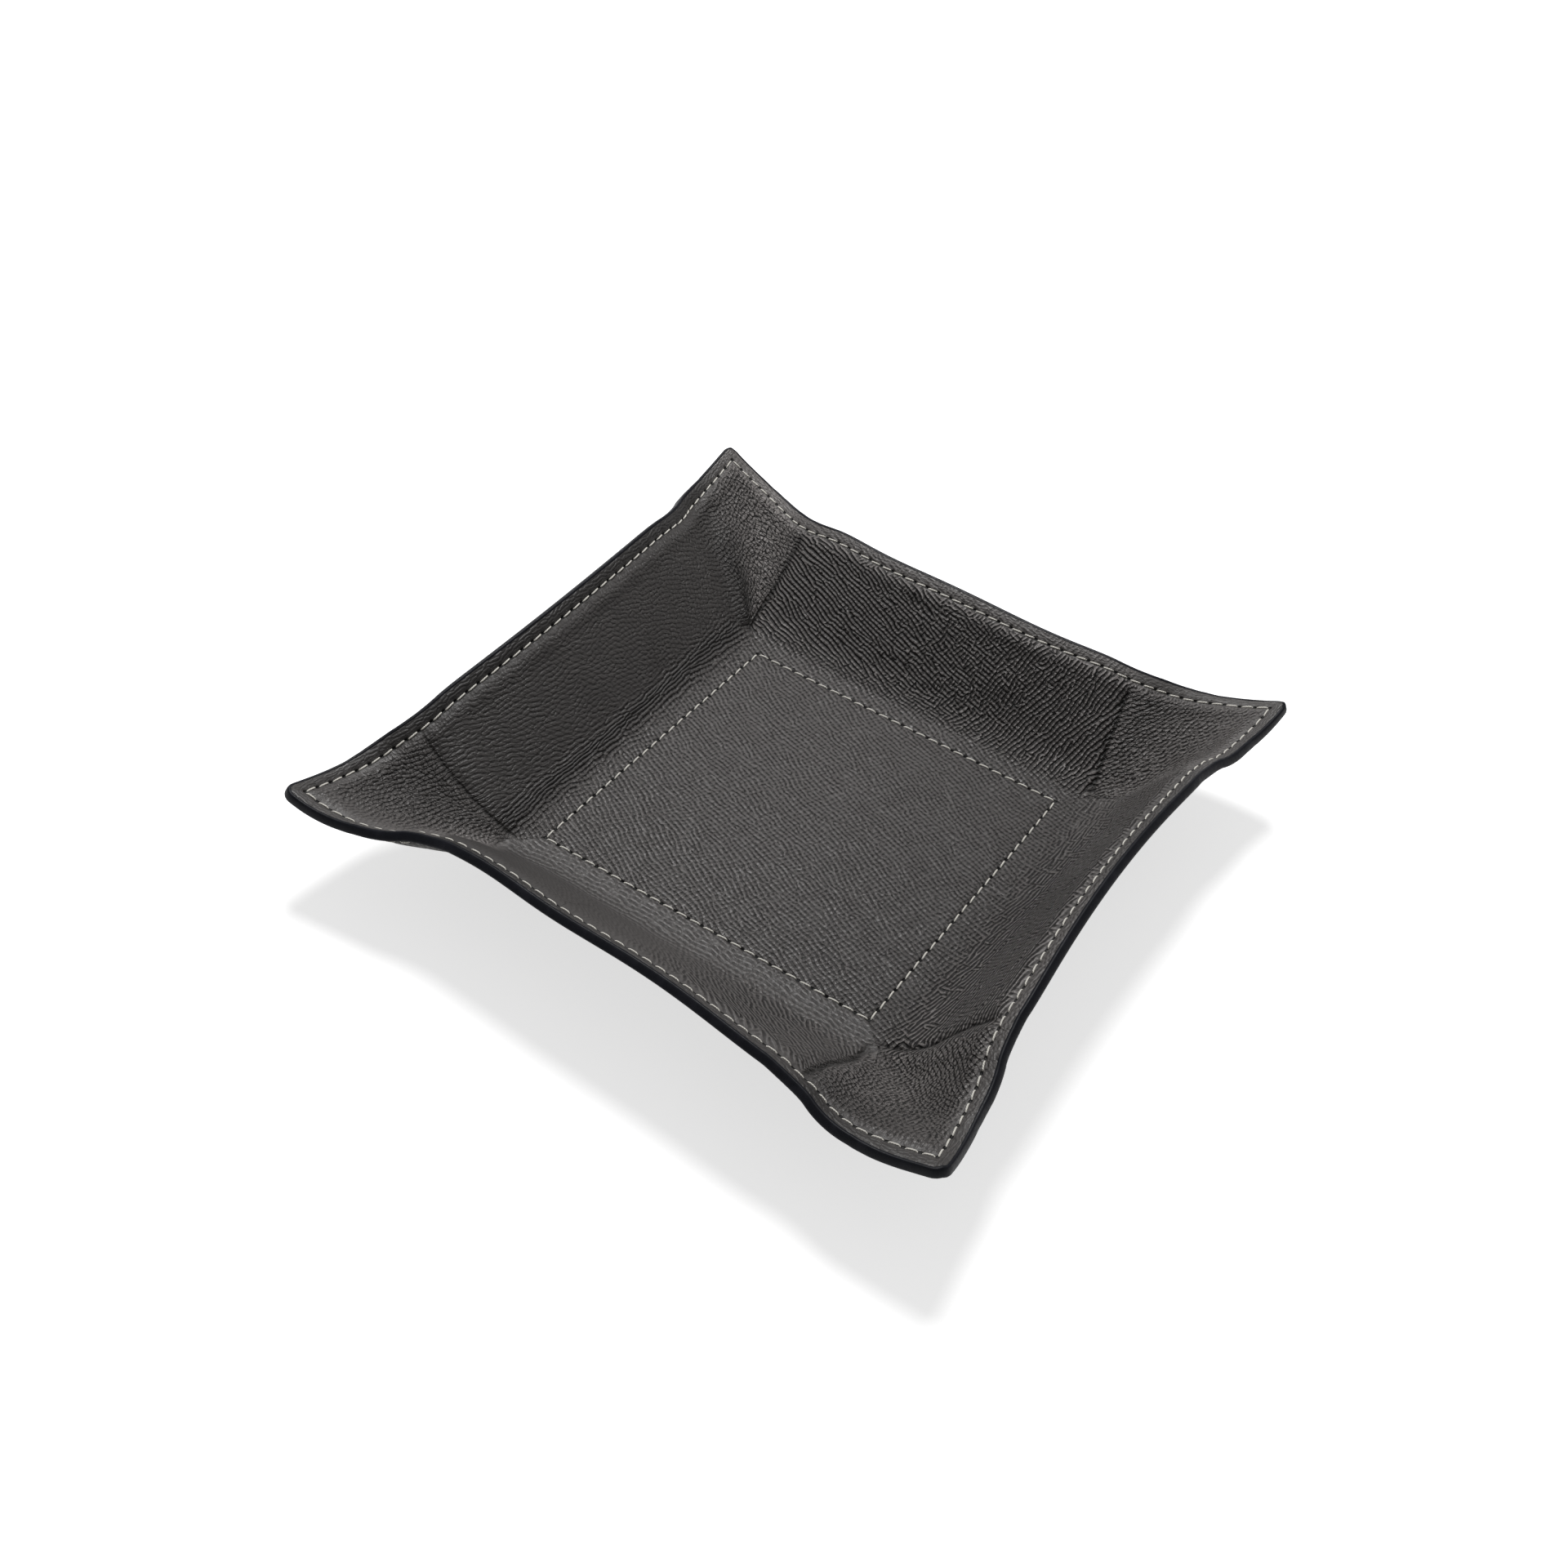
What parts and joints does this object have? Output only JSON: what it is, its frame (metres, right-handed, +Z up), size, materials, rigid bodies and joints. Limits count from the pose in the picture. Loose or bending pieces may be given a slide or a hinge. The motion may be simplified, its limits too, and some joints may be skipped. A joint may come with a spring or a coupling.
{
  "type": "valet tray",
  "caption": "Square leather catch-all tray with sloping walls, flared corner spouts, contrast-stitched rim and floor, and a dark painted edge.",
  "frame": {"origin": "middle of the tray's box, on the surface that it rests on", "axes": "+Z up, out of the open side; X and Y square to the sides of the stitched floor, with the back wall towards +Y"},
  "size_m": [0.1946, 0.1946, 0.0339],
  "materials": {
    "lining_leather": "embossed crossgrain, satin",
    "outer_leather": "embossed crossgrain, satin",
    "bonded_board": "raw fibre board",
    "edge_paint": "smooth painted edge, semi-gloss",
    "thread": "twisted waxed thread"
  },
  "bodies": {
    "root": {"lining_leather": "lining_leather", "outer_leather": "outer_leather", "base_board": "bonded_board", "wall_board_right": "bonded_board", "wall_board_back": "bonded_board", "wall_board_left": "bonded_board", "wall_board_front": "bonded_board", "corner_stay_back_right": "bonded_board", "corner_stay_back_left": "bonded_board", "corner_stay_front_left": "bonded_board", "corner_stay_front_right": "bonded_board", "painted_edge": "edge_paint", "rim_needle_thread": "thread", "rim_bobbin_thread": "thread", "base_needle_thread": "thread", "base_bobbin_thread": "thread"}
  },
  "joints": []
}
